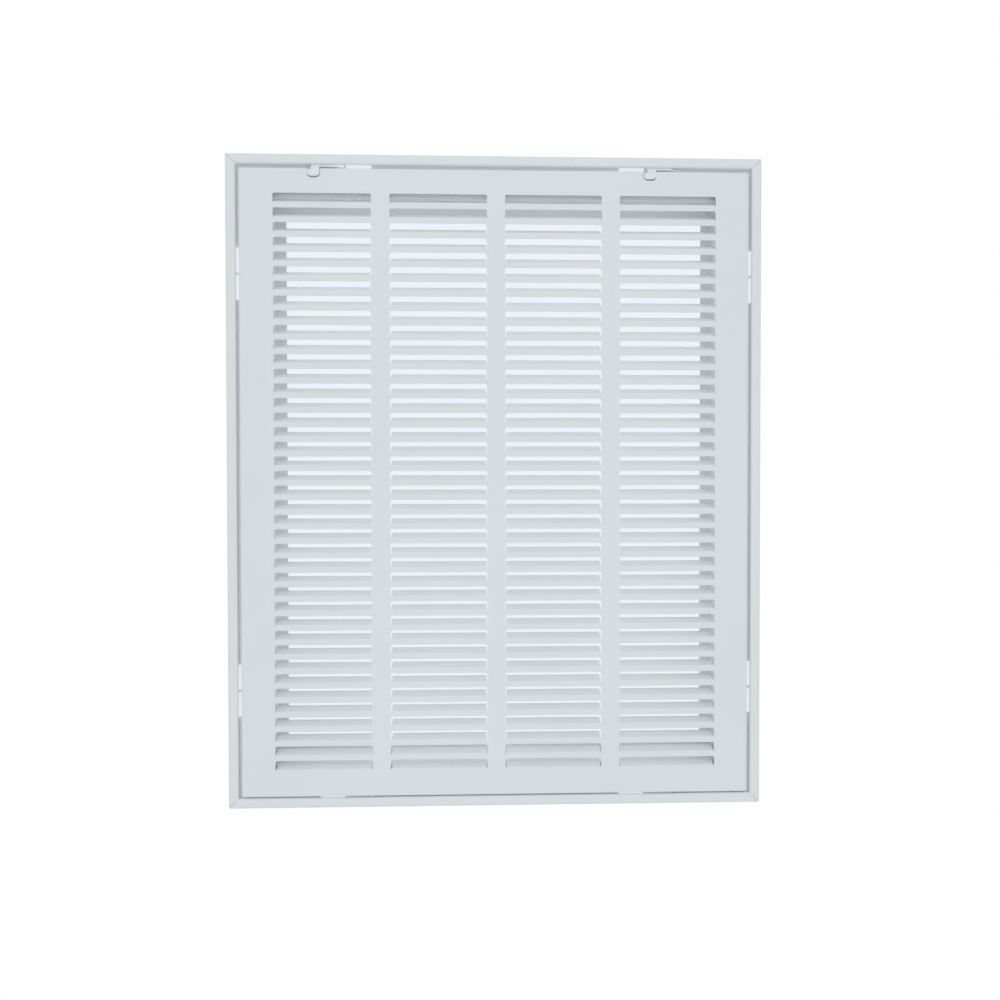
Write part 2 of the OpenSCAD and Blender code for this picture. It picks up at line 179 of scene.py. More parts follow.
finishes = {
    "frame_paint": powderCoat("frameCoat"),
    "door_paint": powderCoat("doorCoat"),
    "hinge_paint": powderCoat("hingeCoat"),
    "latch_paint": powderCoat("latchCoat", lift=1.03),
    "zinc_steel": galvanised("zincSheet"),
    "rivet_aluminium": drawnMetal("rivetMetal", lift=1.2),
    "pin_steel": drawnMetal("pinMetal"),
}
slotOf = {part["node"]: part["material_slot"] for part in frame["record"]["subparts"]}
bodyOf = {node: body for body, held in frame["record"]["behaviour"]["bodies"].items() for node in held}
print("finishes ready")


# An object in the scene that holds a mesh, a lamp or a camera
def addObject(name, data):
    thing = bpy.data.objects.new(name, data)
    bpy.context.scene.collection.objects.link(thing)
    return thing


# A mesh opened for editing, with its equal points joined
def opened(mesh):
    work = bmesh.new()
    work.from_mesh(mesh)
    bmesh.ops.remove_doubles(work, verts=work.verts, dist=weld * mm)
    return work


# The edited mesh as a smoothly shaded object whose faces point outwards
def pieceOf(name, work):
    bmesh.ops.recalc_face_normals(work, faces=work.faces)
    mesh = bpy.data.meshes.new(name)
    work.to_mesh(mesh)
    work.free()
    mesh.polygons.foreach_set("use_smooth", np.ones(len(mesh.polygons), bool))
    return addObject(name, mesh)


# An object from points in mm and faces as lists of indices
def newPiece(name, points, faces):
    raw = bpy.data.meshes.new("raw")
    raw.from_pydata((np.asarray(points, float) * mm).tolist(), [], faces)
    piece = pieceOf(name, opened(raw))
    bpy.data.meshes.remove(raw)
    return piece


# A copy of a construction node with its flat areas made whole, ready for softened edges
def copyOf(name, node):
    work = opened(nodes[node].data)
    flat = math.radians(flatAngle)
    bmesh.ops.dissolve_limit(work, angle_limit=flat, verts=work.verts, edges=work.edges)
    return pieceOf(name, work)


# Rounds every sharp edge by width mm, and keeps the flats flat
def soften(piece, width, segments=1):
    bevel = piece.modifiers.new("softEdges", "BEVEL")
    bevel.width = width * mm
    bevel.segments = segments
    bevel.limit_method = "ANGLE"
    bevel.angle_limit = math.radians(sharpAngle)
    bevel.use_clamp_overlap = False
    bevel.harden_normals = True


# Takes the solids given by points and faces out of a piece
def cutAway(piece, points, faces):
    cutter = newPiece(piece.name + "Cutter", points, faces)
    cut = piece.modifiers.new("cut", "BOOLEAN")
    cut.operation = "DIFFERENCE"
    cut.solver = "EXACT"
    cut.object = cutter
    ready = piece.evaluated_get(bpy.context.evaluated_depsgraph_get())
    mesh = bpy.data.meshes.new_from_object(ready)
    piece.modifiers.clear()
    piece.data = mesh
    bpy.data.objects.remove(cutter)


# Adds the solids given by points and faces to a piece
def addTo(piece, points, faces):
    extra = newPiece(piece.name + "Extra", points, faces)
    work = bmesh.new()
    work.from_mesh(piece.data)
    work.from_mesh(extra.data)
    work.to_mesh(piece.data)
    work.free()
    bpy.data.objects.remove(extra)


# Gives a piece its finish, and lets it stand for its node on the node's body
def settle(piece, node):
    piece.data.materials.clear()
    piece.data.materials.append(finishes[slotOf[node]])
    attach(piece, bodyOf[node])
    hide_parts(node)


# Joins lists of (points, faces) into one such pair
def joined(shapes):
    points, faces, count = [], [], 0
    for shapePoints, shapeFaces in shapes:
        points.append(np.asarray(shapePoints, float))
        faces += [[index + count for index in face] for face in shapeFaces]
        count += len(shapePoints)
    return np.concatenate(points), faces


# The four corners of every cell between the rows and columns of a grid of indices
def cellsOf(index):
    return np.stack([index[:-1, :-1], index[:-1, 1:], index[1:, 1:], index[1:, :-1]], axis=-1)


# The points that some faces of four corners use, and those faces counted anew
def onlyUsed(points, faces):
    used, faces = np.unique(faces, return_inverse=True)
    return points[used], faces.reshape(-1, 4).tolist()


# One side of a folded sheet, off to the left of its middle line. At a bend the side follows an arc about the
# bend's centre, which lies radius * tan(angle / 2) back along the line and radius to the side
def sheetSide(path, radii, off, steps):
    path = np.asarray(path, float)
    legs = np.diff(path, axis=0)
    legs /= np.linalg.norm(legs, axis=1)[:, None]
    left = np.stack([-legs[:, 1], legs[:, 0]], axis=1)
    points = [path[0] + left[0] * off]
    for corner, radius, before, after, side in zip(path[1:-1], radii, legs, legs[1:], left):
        if radius == 0:
            points.append(corner + side * off)
            continue
        angle = math.atan2(before[0] * after[1] - before[1] * after[0], before @ after)
        sign = math.copysign(1.0, angle)
        centre = corner - before * radius * math.tan(abs(angle) / 2) + side * sign * radius
        share = np.linspace(0.0, angle, steps + 1)
        cos, sin = np.cos(share), np.sin(share)
        spokes = np.stack([side[0] * cos - side[1] * sin, side[0] * sin + side[1] * cos], axis=1)
        points.extend(centre + spokes * (off - sign * radius))
    points.append(path[-1] + left[-1] * off)
    return np.array(points)


# A sheet from two grids of points, its outer and inner side. Cells that aren't kept are cut out, and every
# edge between a kept cell and nothing gets a wall through the thickness
def sheetMesh(outer, inner, kept):
    rows, columns = outer.shape[:2]
    back = rows * columns
    index = np.arange(back).reshape(rows, columns)
    cells = cellsOf(index)[kept]
    faces = [cells, cells[:, ::-1] + back]
    padded = np.pad(kept, 1)
    across = (index[:, :-1], index[:, 1:], padded[:-1, 1:-1], padded[1:, 1:-1])
    down = (index[1:, :], index[:-1, :], padded[1:-1, :-1], padded[1:-1, 1:])
    for first, second, before, after in (across, down):
        for only, start, stop in ((after & ~before, second, first), (before & ~after, first, second)):
            faces.append(np.stack([start, stop, stop + back, start + back], axis=-1)[only])
    points = np.concatenate([outer.reshape(-1, 3), inner.reshape(-1, 3)])
    return onlyUsed(points, np.concatenate(faces))


# A solid turned about Z from rings of (radius, height), closed by a flat face at each end
def turnedSolid(rings, steps=32):
    rings = np.asarray(rings, float)
    angles = np.linspace(0.0, 2 * np.pi, steps, endpoint=False)
    circle = np.stack([np.cos(angles), np.sin(angles), np.zeros(steps)], axis=1)
    heights = rings[:, 1, None, None] * np.array([0.0, 0.0, 1.0])
    points = rings[:, 0, None, None] * circle + heights
    index = np.arange(len(rings) * steps).reshape(len(rings), steps)
    after = np.roll(index, -1, axis=1)
    sides = np.stack([index[:-1], after[:-1], after[1:], index[1:]], axis=-1).reshape(-1, 4)
    return points.reshape(-1, 3), sides.tolist() + [index[0][::-1].tolist(), index[-1].tolist()]


# Turns a solid's Z towards axis 0, 1 or 2, forwards or backwards, and moves it
def aimed(shape, axis, place, sign=1.0):
    points, faces = shape
    points = np.asarray(points) * np.array([1.0, 1.0, sign])
    return np.roll(points, axis + 1, axis=1) + np.asarray(place, float), faces


# A block from its lowest to its highest corner
def block(low, high):
    low, high = np.asarray(low, float), np.asarray(high, float)
    corners = np.array([(x, y, z) for x in (0, 1) for y in (0, 1) for z in (0, 1)])
    faces = [[0, 1, 3, 2], [4, 6, 7, 5], [0, 4, 5, 1], [2, 3, 7, 6], [0, 2, 6, 4], [1, 5, 7, 3]]
    return low + corners * (high - low), faces


# Flat (x, z) points laid at each depth in turn
def layered(flat, depths):
    flat = np.asarray(flat, float)
    layers = [np.column_stack([flat[:, 0], np.full(len(flat), depth), flat[:, 1]]) for depth in depths]
    return np.concatenate(layers)


# A flat outline of (x, z) points, pushed from the first depth to the second
def slab(outline, depths):
    count = len(outline)
    index = np.arange(count)
    after = np.roll(index, -1)
    walls = np.stack([after, index, index + count, after + count], axis=1)
    return layered(outline, depths), [index.tolist(), (index[::-1] + count).tolist()] + walls.tolist()


# The frame rails: folded sheet with mitred ends, in mm
railForm = {
    "half": (234.95, 285.75),  # half width and half height of the face
    "sheet": 0.7,
    "path": [(0.35, 0), (0.35, -6.05), (8.65, -6.05), (8.65, -0.35), (12, -0.35), (36.5, -0.35),
             (36.5, 25.65), (46.35, 25.65)],  # (in from the edge, depth) along the middle of the sheet
    "radii": [2, 2, 0.9, 0, 0.9, 0.9],
    "steps": 8,
    "rim": 8.3,  # how far in from the edge the rim reaches
    "mitreGap": (0.2, 0.06),  # cut back at each mitre, on the rim and behind it
    "lapAlong": (1.9, 7.1),  # where the strip behind the rim's mitre starts and stops, in from the edge
    "lapHalf": 0.85,  # half its width, across and up
    "lapDepths": (-5.75, -5.2),
    "pairFromCorner": 103,  # the slots stand in pairs, with the middle of a pair this far from the corner
    "pairStep": 12,  # from there to the middle of each slot
    "slotHalf": 11,
    "screwPlace": (212, 120),  # across and up
    "screwRadius": 2.4,
    "screwReach": (-2, 1),  # depths where the bore starts and ends
    "tagPlace": (-124.95, 2.1, 249.25),  # between the two tag holes: across, depth and height
    "tagApart": 5,  # half the distance between them
    "tagRadius": 1.5,
    "tagReach": (-1.5, 1.5),  # heights where a bore starts and ends, about that place
    "edge": 0.22,  # width of the softened edges
}


# A rail's grid: each row is a line along the rail, cut back at both ends by the mitre
def railGrid(side, upright, sign):
    half = railForm["half"][1 if upright else 0]
    across = railForm["half"][0 if upright else 1]
    pair = half - railForm["pairFromCorner"]
    middles = [end * pair + step * railForm["pairStep"] for end in (-1, 1) for step in (-1, 1)]
    slots = np.sort([middle + end * railForm["slotHalf"] for middle in middles for end in (-1, 1)])
    rimGap, innerGap = railForm["mitreGap"]
    reach = half - side[:, 0] - np.where(side[:, 0] < railForm["rim"], rimGap, innerGap)
    along = np.column_stack([-reach, np.tile(slots, (len(side), 1)), reach])
    inward = np.broadcast_to((sign * (across - side[:, 0]))[:, None], along.shape)
    depth = np.broadcast_to(side[:, 1][:, None], along.shape)
    order = (inward, depth, along) if upright else (along, depth, inward)
    return np.stack(order, axis=-1)


# A strip behind the mitre at both ends of an upright rail, so that no light comes through the joint: a slab
# along the corner's diagonal, as wide to either side of it
def lapStrips(sign):
    start, stop = railForm["lapAlong"]
    wide = railForm["lapHalf"]
    outline = np.array([(start - wide, start + wide), (start + wide, start - wide),
                        (stop + wide, stop - wide), (stop - wide, stop + wide)])
    corner = np.array(railForm["half"]) - outline
    return joined([slab(corner * np.array([sign, end]), railForm["lapDepths"]) for end in (-1, 1)])


# The bores for the wall screws in an upright rail
def screwBores(sign):
    across, up = railForm["screwPlace"]
    drill = turnedSolid([(railForm["screwRadius"], level) for level in railForm["screwReach"]])
    return joined([aimed(drill, 1, (sign * across, 0, end * up)) for end in (-1, 1)])


# The two bores for a tag in the top rail's collar
def tagBores():
    middle, depth, height = railForm["tagPlace"]
    drill = turnedSolid([(railForm["tagRadius"], level) for level in railForm["tagReach"]])
    return joined([aimed(drill, 2, (middle + end * railForm["tagApart"], depth, height)) for end in (-1, 1)])


# One rail. The slots are cells left out of the grid, from the rim's bend down its inner wall into the ledge
def addRail(name, node, upright, sign):
    path, radii, steps = railForm["path"], railForm["radii"], railForm["steps"]
    outer = railGrid(sheetSide(path, radii, -railForm["sheet"] / 2, steps), upright, sign)
    inner = railGrid(sheetSide(path, radii, railForm["sheet"] / 2, steps), upright, sign)
    kept = np.ones((outer.shape[0] - 1, outer.shape[1] - 1), bool)
    wallStart = 2 * steps + 2  # the last row of the rim's second bend
    ledgeStop = 3 * steps + 4  # the row in the ledge, past the bend at its root
    kept[wallStart:ledgeStop, 1::2] = False
    rail = newPiece(name, *sheetMesh(outer, inner, kept))
    if upright:
        cutAway(rail, *screwBores(sign))
        addTo(rail, *lapStrips(sign))
    elif sign > 0:
        cutAway(rail, *tagBores())
    soften(rail, railForm["edge"])
    settle(rail, node)


addRail("railTop", "rail_top", False, 1)
addRail("railBottom", "rail_bottom", False, -1)
addRail("railLeft", "rail_left", True, -1)
addRail("railRight", "rail_right", True, 1)
print("rails ready")

# The louvre door: one sheet with turned edges, 160 openings and 160 vanes, in mm
panelForm = {
    "front": -6.4,
    "sheet": 0.7,
    "half": 223.15,  # half width
    "foot": -275.55,
    "head": 273.35,
    "edgeIn": 2.0,  # from the door's edge to where its face is flat
    "bend": 0.9,
    "bendSteps": 8,
    "flangeLow": -1.9,  # depth where the side and bottom edges end
    "flangeTop": -0.75,  # and where the top edge ends
    "columns": (-151.35, -50.45, 50.45, 151.35),  # middles of the openings across
    "firstFoot": -252.05,  # foot of the lowest openings
    "pitch": 12.7,
    "rows": 40,
    "openingHalf": 42.4,
    "openingHeight": 8.4,
    "openingCorner": 1.7,
    "cornerSteps": 4,  # an even number
    "vaneHalf": (42.0, 41.4),  # half width at the foot and at the free edge
    "vaneLean": 60,
    "vaneStart": 0.1,  # height over the foot where the bend starts
    "vaneTip": (0.705, 4.52),  # middle of the free edge: depth, and height over the foot
    "vaneSteps": 6,
    "notchHalf": 5.5,
    "notchFoot": 265.25,
    "notchCorner": 3.7,
    "notchSteps": 8,
    "hingeCutHalf": 13.5,
    "hingeCutTall": 1.6,
    "hingeCutFrom": -5.75,  # depth where it starts
    "edge": 0.11,
}
faceLevels = (panelForm["front"], panelForm["front"] + panelForm["sheet"])  # depths of the sheet's two sides
tileHalf = (panelForm["columns"][1] - panelForm["columns"][0]) / 2  # each opening lies in a tile of the face
tileStrip = panelForm["pitch"] - panelForm["openingHeight"]  # metal between two openings


# Side lines of a vane from its foot: straight up, round the bend and on to the free edge, as (depth, height)
def vaneLines():
    lean = math.radians(panelForm["vaneLean"])
    half = panelForm["sheet"] / 2
    middle = sum(faceLevels) / 2 + panelForm["bend"]
    share = np.linspace(0.0, lean, panelForm["vaneSteps"] + 1)[1:]
    lines = []
    for level, off in zip(faceLevels, (-half, half)):
        radius = panelForm["bend"] - off
        height = panelForm["vaneStart"] + radius * np.sin(share)
        arc = np.stack([middle - radius * np.cos(share), height], axis=1)
        tip = np.array(panelForm["vaneTip"]) + off * np.array([math.cos(lean), -math.sin(lean)])
        lines.append(np.concatenate([[(level, 0.0)], arc, [tip]]))
    return lines


# A tile's flat points as (x, z) about its opening's foot: the tile's corners, the opening's foot with the
# vane's between, and the rounded upper corners
def tilePoints():
    wide, vane = panelForm["openingHalf"], panelForm["vaneHalf"][0]
    tall, radius = panelForm["openingHeight"], panelForm["openingCorner"]
    low, high = -tileStrip / 2, tall + tileStrip / 2
    turn = np.linspace(0.0, math.pi / 2, panelForm["cornerSteps"] + 1)
    arc = np.stack([wide - radius + radius * np.cos(turn), tall - radius + radius * np.sin(turn)], axis=1)
    return np.concatenate([
        [(-tileHalf, low), (tileHalf, low), (tileHalf, high), (-tileHalf, high)],
        [(wide, 0), (vane, 0), (-vane, 0), (-wide, 0)],
        arc, arc[::-1] * np.array([-1.0, 1.0]),
    ])


# A tile's flat front and back, split into four faces from the corners' middles, and the opening's walls
def tileFlat():
    flat = tilePoints()
    count, steps = len(flat), panelForm["cornerSteps"]
    right = list(range(8, 9 + steps))  # the arcs follow the tile's and the foot's eight points
    left = list(range(9 + steps, 10 + 2 * steps))
    half = steps // 2
    front = [
        [0, 1, 4, 5, 6, 7],
        [1, 2] + right[half::-1] + [4],
        [2, 3] + left[half::-1] + right[:half - 1:-1],
        [3, 0, 7] + left[:half - 1:-1],
    ]
    faces = front + [[index + count for index in face[::-1]] for face in front]
    loop = [4] + right + left + [7]
    walls = list(zip(loop, loop[1:])) + [(5, 4), (7, 6)]
    faces += [[first, second, second + count, first + count] for first, second in walls]
    return layered(flat, faceLevels), faces


# A tile's vane, after the flat's count points a side: rows of four points, at the front right, front left,
# back right and back left, with a face on each side between two rows. The first row is the vane's foot
def tileVane(count):
    front, back = vaneLines()
    rows = len(front) - 1
    taper = np.interp(front[1:, 1], (0.0, front[-1, 1]), panelForm["vaneHalf"])
    points = [np.column_stack([x, line[1:]]) for line in (front, back) for x in (taper, -taper)]
    edges = [[5, 6, 5 + count, 6 + count]]
    edges += (2 * count + np.arange(rows)[:, None] + rows * np.arange(4)).tolist()
    faces = []
    for row, above in zip(edges, edges[1:]):
        faces += [[row[i], row[j], above[j], above[i]] for i, j in ((1, 0), (2, 3), (0, 2), (3, 1))]
    faces.append([edges[-1][k] for k in (1, 0, 2, 3)])
    return np.concatenate(points), faces


# All tiles side by side: one tile's points and faces, moved to each opening's foot
def louvreFace():
    flat, flatFaces = tileFlat()
    vane, vaneFaces = tileVane(len(flat) // 2)
    points, faces = np.concatenate([flat, vane]), flatFaces + vaneFaces
    feet = panelForm["firstFoot"] + panelForm["pitch"] * np.arange(panelForm["rows"])
    places = np.array([(x, 0.0, z) for x in panelForm["columns"] for z in feet])
    steps = np.arange(len(places)) * len(points)
    allFaces = []
    for size in {len(face) for face in faces}:
        group = np.array([face for face in faces if len(face) == size])
        allFaces += (group[None] + steps[:, None, None]).reshape(-1, size).tolist()
    return (points[None] + places[:, None]).reshape(-1, 3), allFaces


# Where the tiles' borders cross the face: lines across and lines up, with the flat's own border at the ends
def faceLines():
    inside = panelForm["half"] - panelForm["edgeIn"]
    across = [-inside, panelForm["columns"][0] - tileHalf]
    across += [x + tileHalf for x in panelForm["columns"]] + [inside]
    tiles = panelForm["firstFoot"] - tileStrip / 2 + panelForm["pitch"] * np.arange(panelForm["rows"] + 1)
    up = [panelForm["foot"] + panelForm["edgeIn"], *tiles, panelForm["head"] - panelForm["edgeIn"]]
    return np.array(across), np.array(up)


# The flat margin round the tiles, front and back: the outermost cells of the face's lines
def marginFaces():
    across, up = faceLines()
    flat = np.stack(np.meshgrid(across, up, indexing="ij"), axis=-1).reshape(-1, 2)
    index = np.arange(len(flat)).reshape(len(across), len(up))
    cells = cellsOf(index)
    edge = np.ones(cells.shape[:2], bool)
    edge[1:-1, 1:-1] = False
    faces = np.concatenate([cells[edge][:, ::-1], cells[edge] + len(flat)])
    return onlyUsed(layered(flat, faceLevels), faces)


# A turned edge's middle line as (in from the door's edge, depth), and its bends
def edgePath(top):
    half, middle = panelForm["sheet"] / 2, panelForm["front"] + panelForm["sheet"] / 2
    path = [(half, panelForm["flangeLow"]), (half, middle), (panelForm["edgeIn"], middle)]
    if top:
        return [(half, panelForm["flangeTop"])] + path, [0, panelForm["bend"]]
    return path, [panelForm["bend"]]


# A turned edge's grid: each row is a line along the edge, mitred at both ends
def edgeGrid(side, upright, sign):
    across, up = faceLines()
    inward = side[:, 0]
    foot, head = panelForm["foot"] + inward, panelForm["head"] - inward
    right = panelForm["half"] - inward
    if upright:
        low, lines, high, level = foot, up[1:-1], head, sign * right
    else:
        low, lines, high, level = -right, across[1:-1], right, head if sign > 0 else foot
    along = np.column_stack([low, np.tile(lines, (len(side), 1)), high])
    level = np.broadcast_to(level[:, None], along.shape)
    depth = np.broadcast_to(side[:, 1][:, None], along.shape)
    return np.stack((level, depth, along) if upright else (along, depth, level), axis=-1)


# A turned edge of the door along one side, from its free edge round the bend to the flat. Its ends are left
# open, because the neighbour closes them, apart from what the top edge has further back than the others
def turnedEdge(upright, sign):
    top = not upright and sign > 0
    path, radii = edgePath(top)
    half = panelForm["sheet"] / 2
    sides = [sheetSide(path, radii, off, panelForm["bendSteps"]) for off in (-half, half)]
    points = np.concatenate([edgeGrid(side, upright, sign).reshape(-1, 3) for side in sides])
    back = len(points) // 2
    index = np.arange(back).reshape(len(sides[0]), -1)
    cells = cellsOf(index).reshape(-1, 4)
    free = np.stack([index[0, 1:], index[0, :-1], index[0, :-1] + back, index[0, 1:] + back], axis=-1)
    faces = np.concatenate([cells, cells[:, ::-1] + back, free]).tolist()
    if top:
        faces += [[index[0, k], index[1, k], index[1, k] + back, index[0, k] + back] for k in (0, -1)]
    return points, faces


# The outline of a notch: straight sides up past the door's edge, and a rounded foot
def notchOutline(x):
    half, low, radius = panelForm["notchHalf"], panelForm["notchFoot"], panelForm["notchCorner"]
    turn = np.linspace(0.0, math.pi / 2, panelForm["notchSteps"] + 1)
    foot = np.stack([half - radius + radius * np.sin(turn), low + radius - radius * np.cos(turn)], axis=1)
    top = panelForm["head"] + overshoot
    outline = np.concatenate([foot, [(half, top), (-half, top)], foot[::-1] * np.array([-1.0, 1.0])])
    return outline + np.array([x, 0.0])


# The space for a hinge in the door's bottom edge
def hingeCut(x):
    half, foot = panelForm["hingeCutHalf"], panelForm["foot"]
    low = (x - half, panelForm["hingeCutFrom"], foot - overshoot)
    return block(low, (x + half, overshoot, foot + panelForm["hingeCutTall"]))


# The door's sheet, with its notches and hinge cuts
def addPanel():
    shapes = [louvreFace(), marginFaces()]
    shapes += [turnedEdge(upright, sign) for upright in (False, True) for sign in (-1, 1)]
    panel = newPiece("facePanel", *joined(shapes))
    cuts = [slab(notchOutline(x), (panelForm["front"] - overshoot, overshoot)) for x in latchAcross]
    cuts += [hingeCut(x) for x in hingeAcross]
    cutAway(panel, *joined(cuts))
    soften(panel, panelForm["edge"])
    settle(panel, "face_panel")


addPanel()
print("door ready")

# Rivets, in mm: a shank through the collar, with a dome and the end of its mandrel outside, and a bulged tail
rivetForm = {
    "place": (198.8, 13.0, 249.6),  # the collar's outer faces, and the depth of the rivets
    "inset": 10.0,
    "rings": [(0.9, -1.4), (1.7, -1.36), (2.2, -1.2), (2.4, -0.95), (2.3, -0.72), (1.6, -0.7), (1.6, 0.8),
              (2.8, 0.8), (2.9, 0.86), (2.88, 1.0), (2.7, 1.25), (2.3, 1.5), (1.8, 1.68), (1.3, 1.78),
              (1.1, 1.8), (1.05, 1.6), (0.85, 1.55), (0.8, 1.72), (0.4, 1.76)],  # (radius, way out)
}


# Eight rivets, two at each corner: one through the collar's level wall, one through its upright wall
def addRivets():
    across, depth, up = rivetForm["place"]
    inAcross, inUp = across - rivetForm["inset"], up - rivetForm["inset"]
    rivet = turnedSolid(rivetForm["rings"])
    shapes = []
    for sideX in (-1, 1):
        for sideZ in (-1, 1):
            shapes.append(aimed(rivet, 2, (sideX * inAcross, depth, sideZ * up), sideZ))
            shapes.append(aimed(rivet, 0, (sideX * across, depth, sideZ * inUp), sideX))
    rivets = newPiece("cornerRivets", *joined(shapes))
    settle(rivets, "corner_rivets")


addRivets()

# Hinge pins: a shank with a rounded head at each end, in mm
pinForm = {
    "axis": (-4.15, -273.30),  # depth and height of the hinge line
    "half": 12.02,  # from the middle to a head's inner face
    "radius": 1.0,
    "rings": [(0.7, 0.5), (1.15, 0.45), (1.32, 0.3), (1.35, 0.15), (1.3, 0.02), (1.2, 0.0)],
    "steps": 24,
}


# Two pins along X on the hinge line. The rings are (radius, out from the head's inner face)
def addPins():
    rings = np.array(pinForm["rings"])
    tail = rings * np.array([1.0, -1.0]) - np.array([0.0, pinForm["half"]])
    head = rings[::-1] + np.array([0.0, pinForm["half"]])
    shank = [(pinForm["radius"], -pinForm["half"]), (pinForm["radius"], pinForm["half"])]
    pin = turnedSolid(np.concatenate([tail, shank, head]), pinForm["steps"])
    pins = newPiece("hingePins", *joined([aimed(pin, 0, (x, *pinForm["axis"])) for x in hingeAcross]))
    settle(pins, "hinge_pins")


addPins()
print("rivets and pins ready")

# Latches, in mm: one folded strip from the tab's foot over the door's edge into the bar, a neck and a hook
latchForm = {
    "sheet": 0.8,
    "fold": 0.6,
    "steps": 5,
    "half": 5.3,  # half width of the tab
    "corner": 3.0,
    "cornerRows": (0.0, 0.5, 1.1, 1.9, 3.0),  # heights over the tab's foot
    "foot": 266.05,
    "shoulder": (271.1, 271.35, 271.6, 271.85, 272.1),  # heights where the tab narrows to the stem
    "stemLeft": -2.3,
    "path": [(-7.3, 274.0), (-4.8, 274.0), (-4.8, 274.85), (-4.8, 276.25), (-1.5, 276.25),
             (-1.5, 273.8)],  # (depth, height) from the tab over the door's edge and round the bar
    "bends": (True, True, False, True, True),  # whether it folds at each point but the last
    "bar": (19.5, 26.5),  # where the finger starts, and the bar's end
    "finger": (273.75, 274.85),  # lower and upper edge of the finger at the bar's end
    "neck": ((5.3, -1.9, 275.85), (13.3, -1.1, 278.35)),  # lowest and highest corner
    "hook": ((-2.7, -3.95, 277.55), (21.3, -1.1, 278.35)),
    "edge": 0.15,
}


# Left and right edge of the strip at each of count points along it. Over its foot the tab reaches
# half - corner + sqrt(corner^2 - (corner - height)^2) to each side, and at the shoulder its left edge eases
# over to the stem's, by half a cosine wave
def tabEdges(count):
    half, corner = latchForm["half"], latchForm["corner"]
    rise = np.array(latchForm["cornerRows"])
    reach = half - corner + np.sqrt(corner ** 2 - (corner - rise) ** 2)
    ease = (1 - np.cos(np.linspace(0.0, math.pi, len(latchForm["shoulder"])))) / 2
    left = np.concatenate([-reach, -half + (latchForm["stemLeft"] + half) * ease])
    left = np.append(left, np.full(count - len(left), latchForm["stemLeft"]))
    right = np.append(reach, np.full(count - len(reach), half))
    return left, right


# The strip as a grid: four edges along it, and rows from the tab's foot to the bar's rear edge
def latchStrip():
    heights = [latchForm["foot"] + rise for rise in latchForm["cornerRows"]] + list(latchForm["shoulder"])
    path = [(latchForm["path"][0][0], height) for height in heights] + latchForm["path"]
    folds = [False] * (len(heights) - 1) + list(latchForm["bends"])
    radii = [latchForm["fold"] if fold else 0 for fold in folds]
    repeats = [1] + [latchForm["steps"] + 1 if fold else 1 for fold in folds] + [1]
    count = sum(repeats)
    left, right = tabEdges(len(path))
    start, end = latchForm["bar"]
    across = np.column_stack([
        np.repeat(left, repeats), np.repeat(right, repeats), np.full(count, start), np.full(count, end)
    ])
    barRow = sum(repeats[:len(heights) + 2])  # the bar's front lies between this row and the next
    foldRow = barRow + 1
    rearRow = count - 2  # and its rear side after this one
    kept = np.ones((count - 1, 3), bool)
    kept[:barRow, 1:] = False
    kept[foldRow:rearRow, 2] = False
    grids = []
    for off in (-latchForm["sheet"] / 2, latchForm["sheet"] / 2):
        side = sheetSide(path, radii, off, latchForm["steps"])
        depth = np.repeat(side[:, :1], 4, axis=1)
        height = np.repeat(side[:, 1:], 4, axis=1)
        height[[barRow, foldRow], 3] = latchForm["finger"]
        grids.append(np.stack([across, depth, height], axis=-1))
    return sheetMesh(*grids, kept)


# A latch whose stem stands about x
def addLatch(name, node, x):
    points, faces = joined([latchStrip(), block(*latchForm["neck"]), block(*latchForm["hook"])])
    latch = newPiece(name, points + np.array([x, 0.0, 0.0]), faces)
    soften(latch, latchForm["edge"], segments=2)
    settle(latch, node)


addLatch("latchLeft", "latch_left", latchAcross[0])
addLatch("latchRight", "latch_right", latchAcross[1])
print("latches ready")

# Small folded parts whose construction shape is right: the same shape with softened edges, in mm
softened = {
    "hingeBracketLeft": ("hinge_bracket_left", 0.12),
    "hingeBracketRight": ("hinge_bracket_right", 0.12),
    "hingeKnuckleLeft": ("hinge_knuckle_left", 0.1),
    "hingeKnuckleRight": ("hinge_knuckle_right", 0.1),
    "cornerAngleTopLeft": ("corner_angle_tl", 0.16),
    "cornerAngleTopRight": ("corner_angle_tr", 0.16),
    "cornerAngleBottomLeft": ("corner_angle_bl", 0.16),
    "cornerAngleBottomRight": ("corner_angle_br", 0.16),
}
for name, (node, width) in softened.items():
    part = copyOf(name, node)
    soften(part, width, segments=2)
    settle(part, node)
print("small parts ready")

# Camera, from the outline and the louvre columns in the photograph, in metres and radians
shot = {
    "place": (-0.0214, -0.7597, -0.0025),
    "turnRight": 0.0327,
    "tiltUp": -0.0168,
    "roll": -0.0011,
    "focalShare": 0.8575,  # focal length over the picture's width
    "sensor": 36.0,  # the picture's width on the film, in mm
    "clip": (0.01, 50.0),
}


# Looks along +Y, then turns right, tilts and rolls
def addCamera():
    lens = bpy.data.cameras.new("photoCamera")
    lens.sensor_width = shot["sensor"]
    lens.lens = shot["focalShare"] * lens.sensor_width
    lens.clip_start, lens.clip_end = shot["clip"]
    camera = addObject("photoCamera", lens)
    camera.location = shot["place"]
    aim = Matrix.Rotation(-shot["turnRight"], 3, "Z")
    aim = aim @ Matrix.Rotation(math.pi / 2 + shot["tiltUp"], 3, "X")
    aim = aim @ Matrix.Rotation(shot["roll"], 3, "Z")
    camera.rotation_euler = aim.to_euler()
    bpy.context.scene.camera = camera


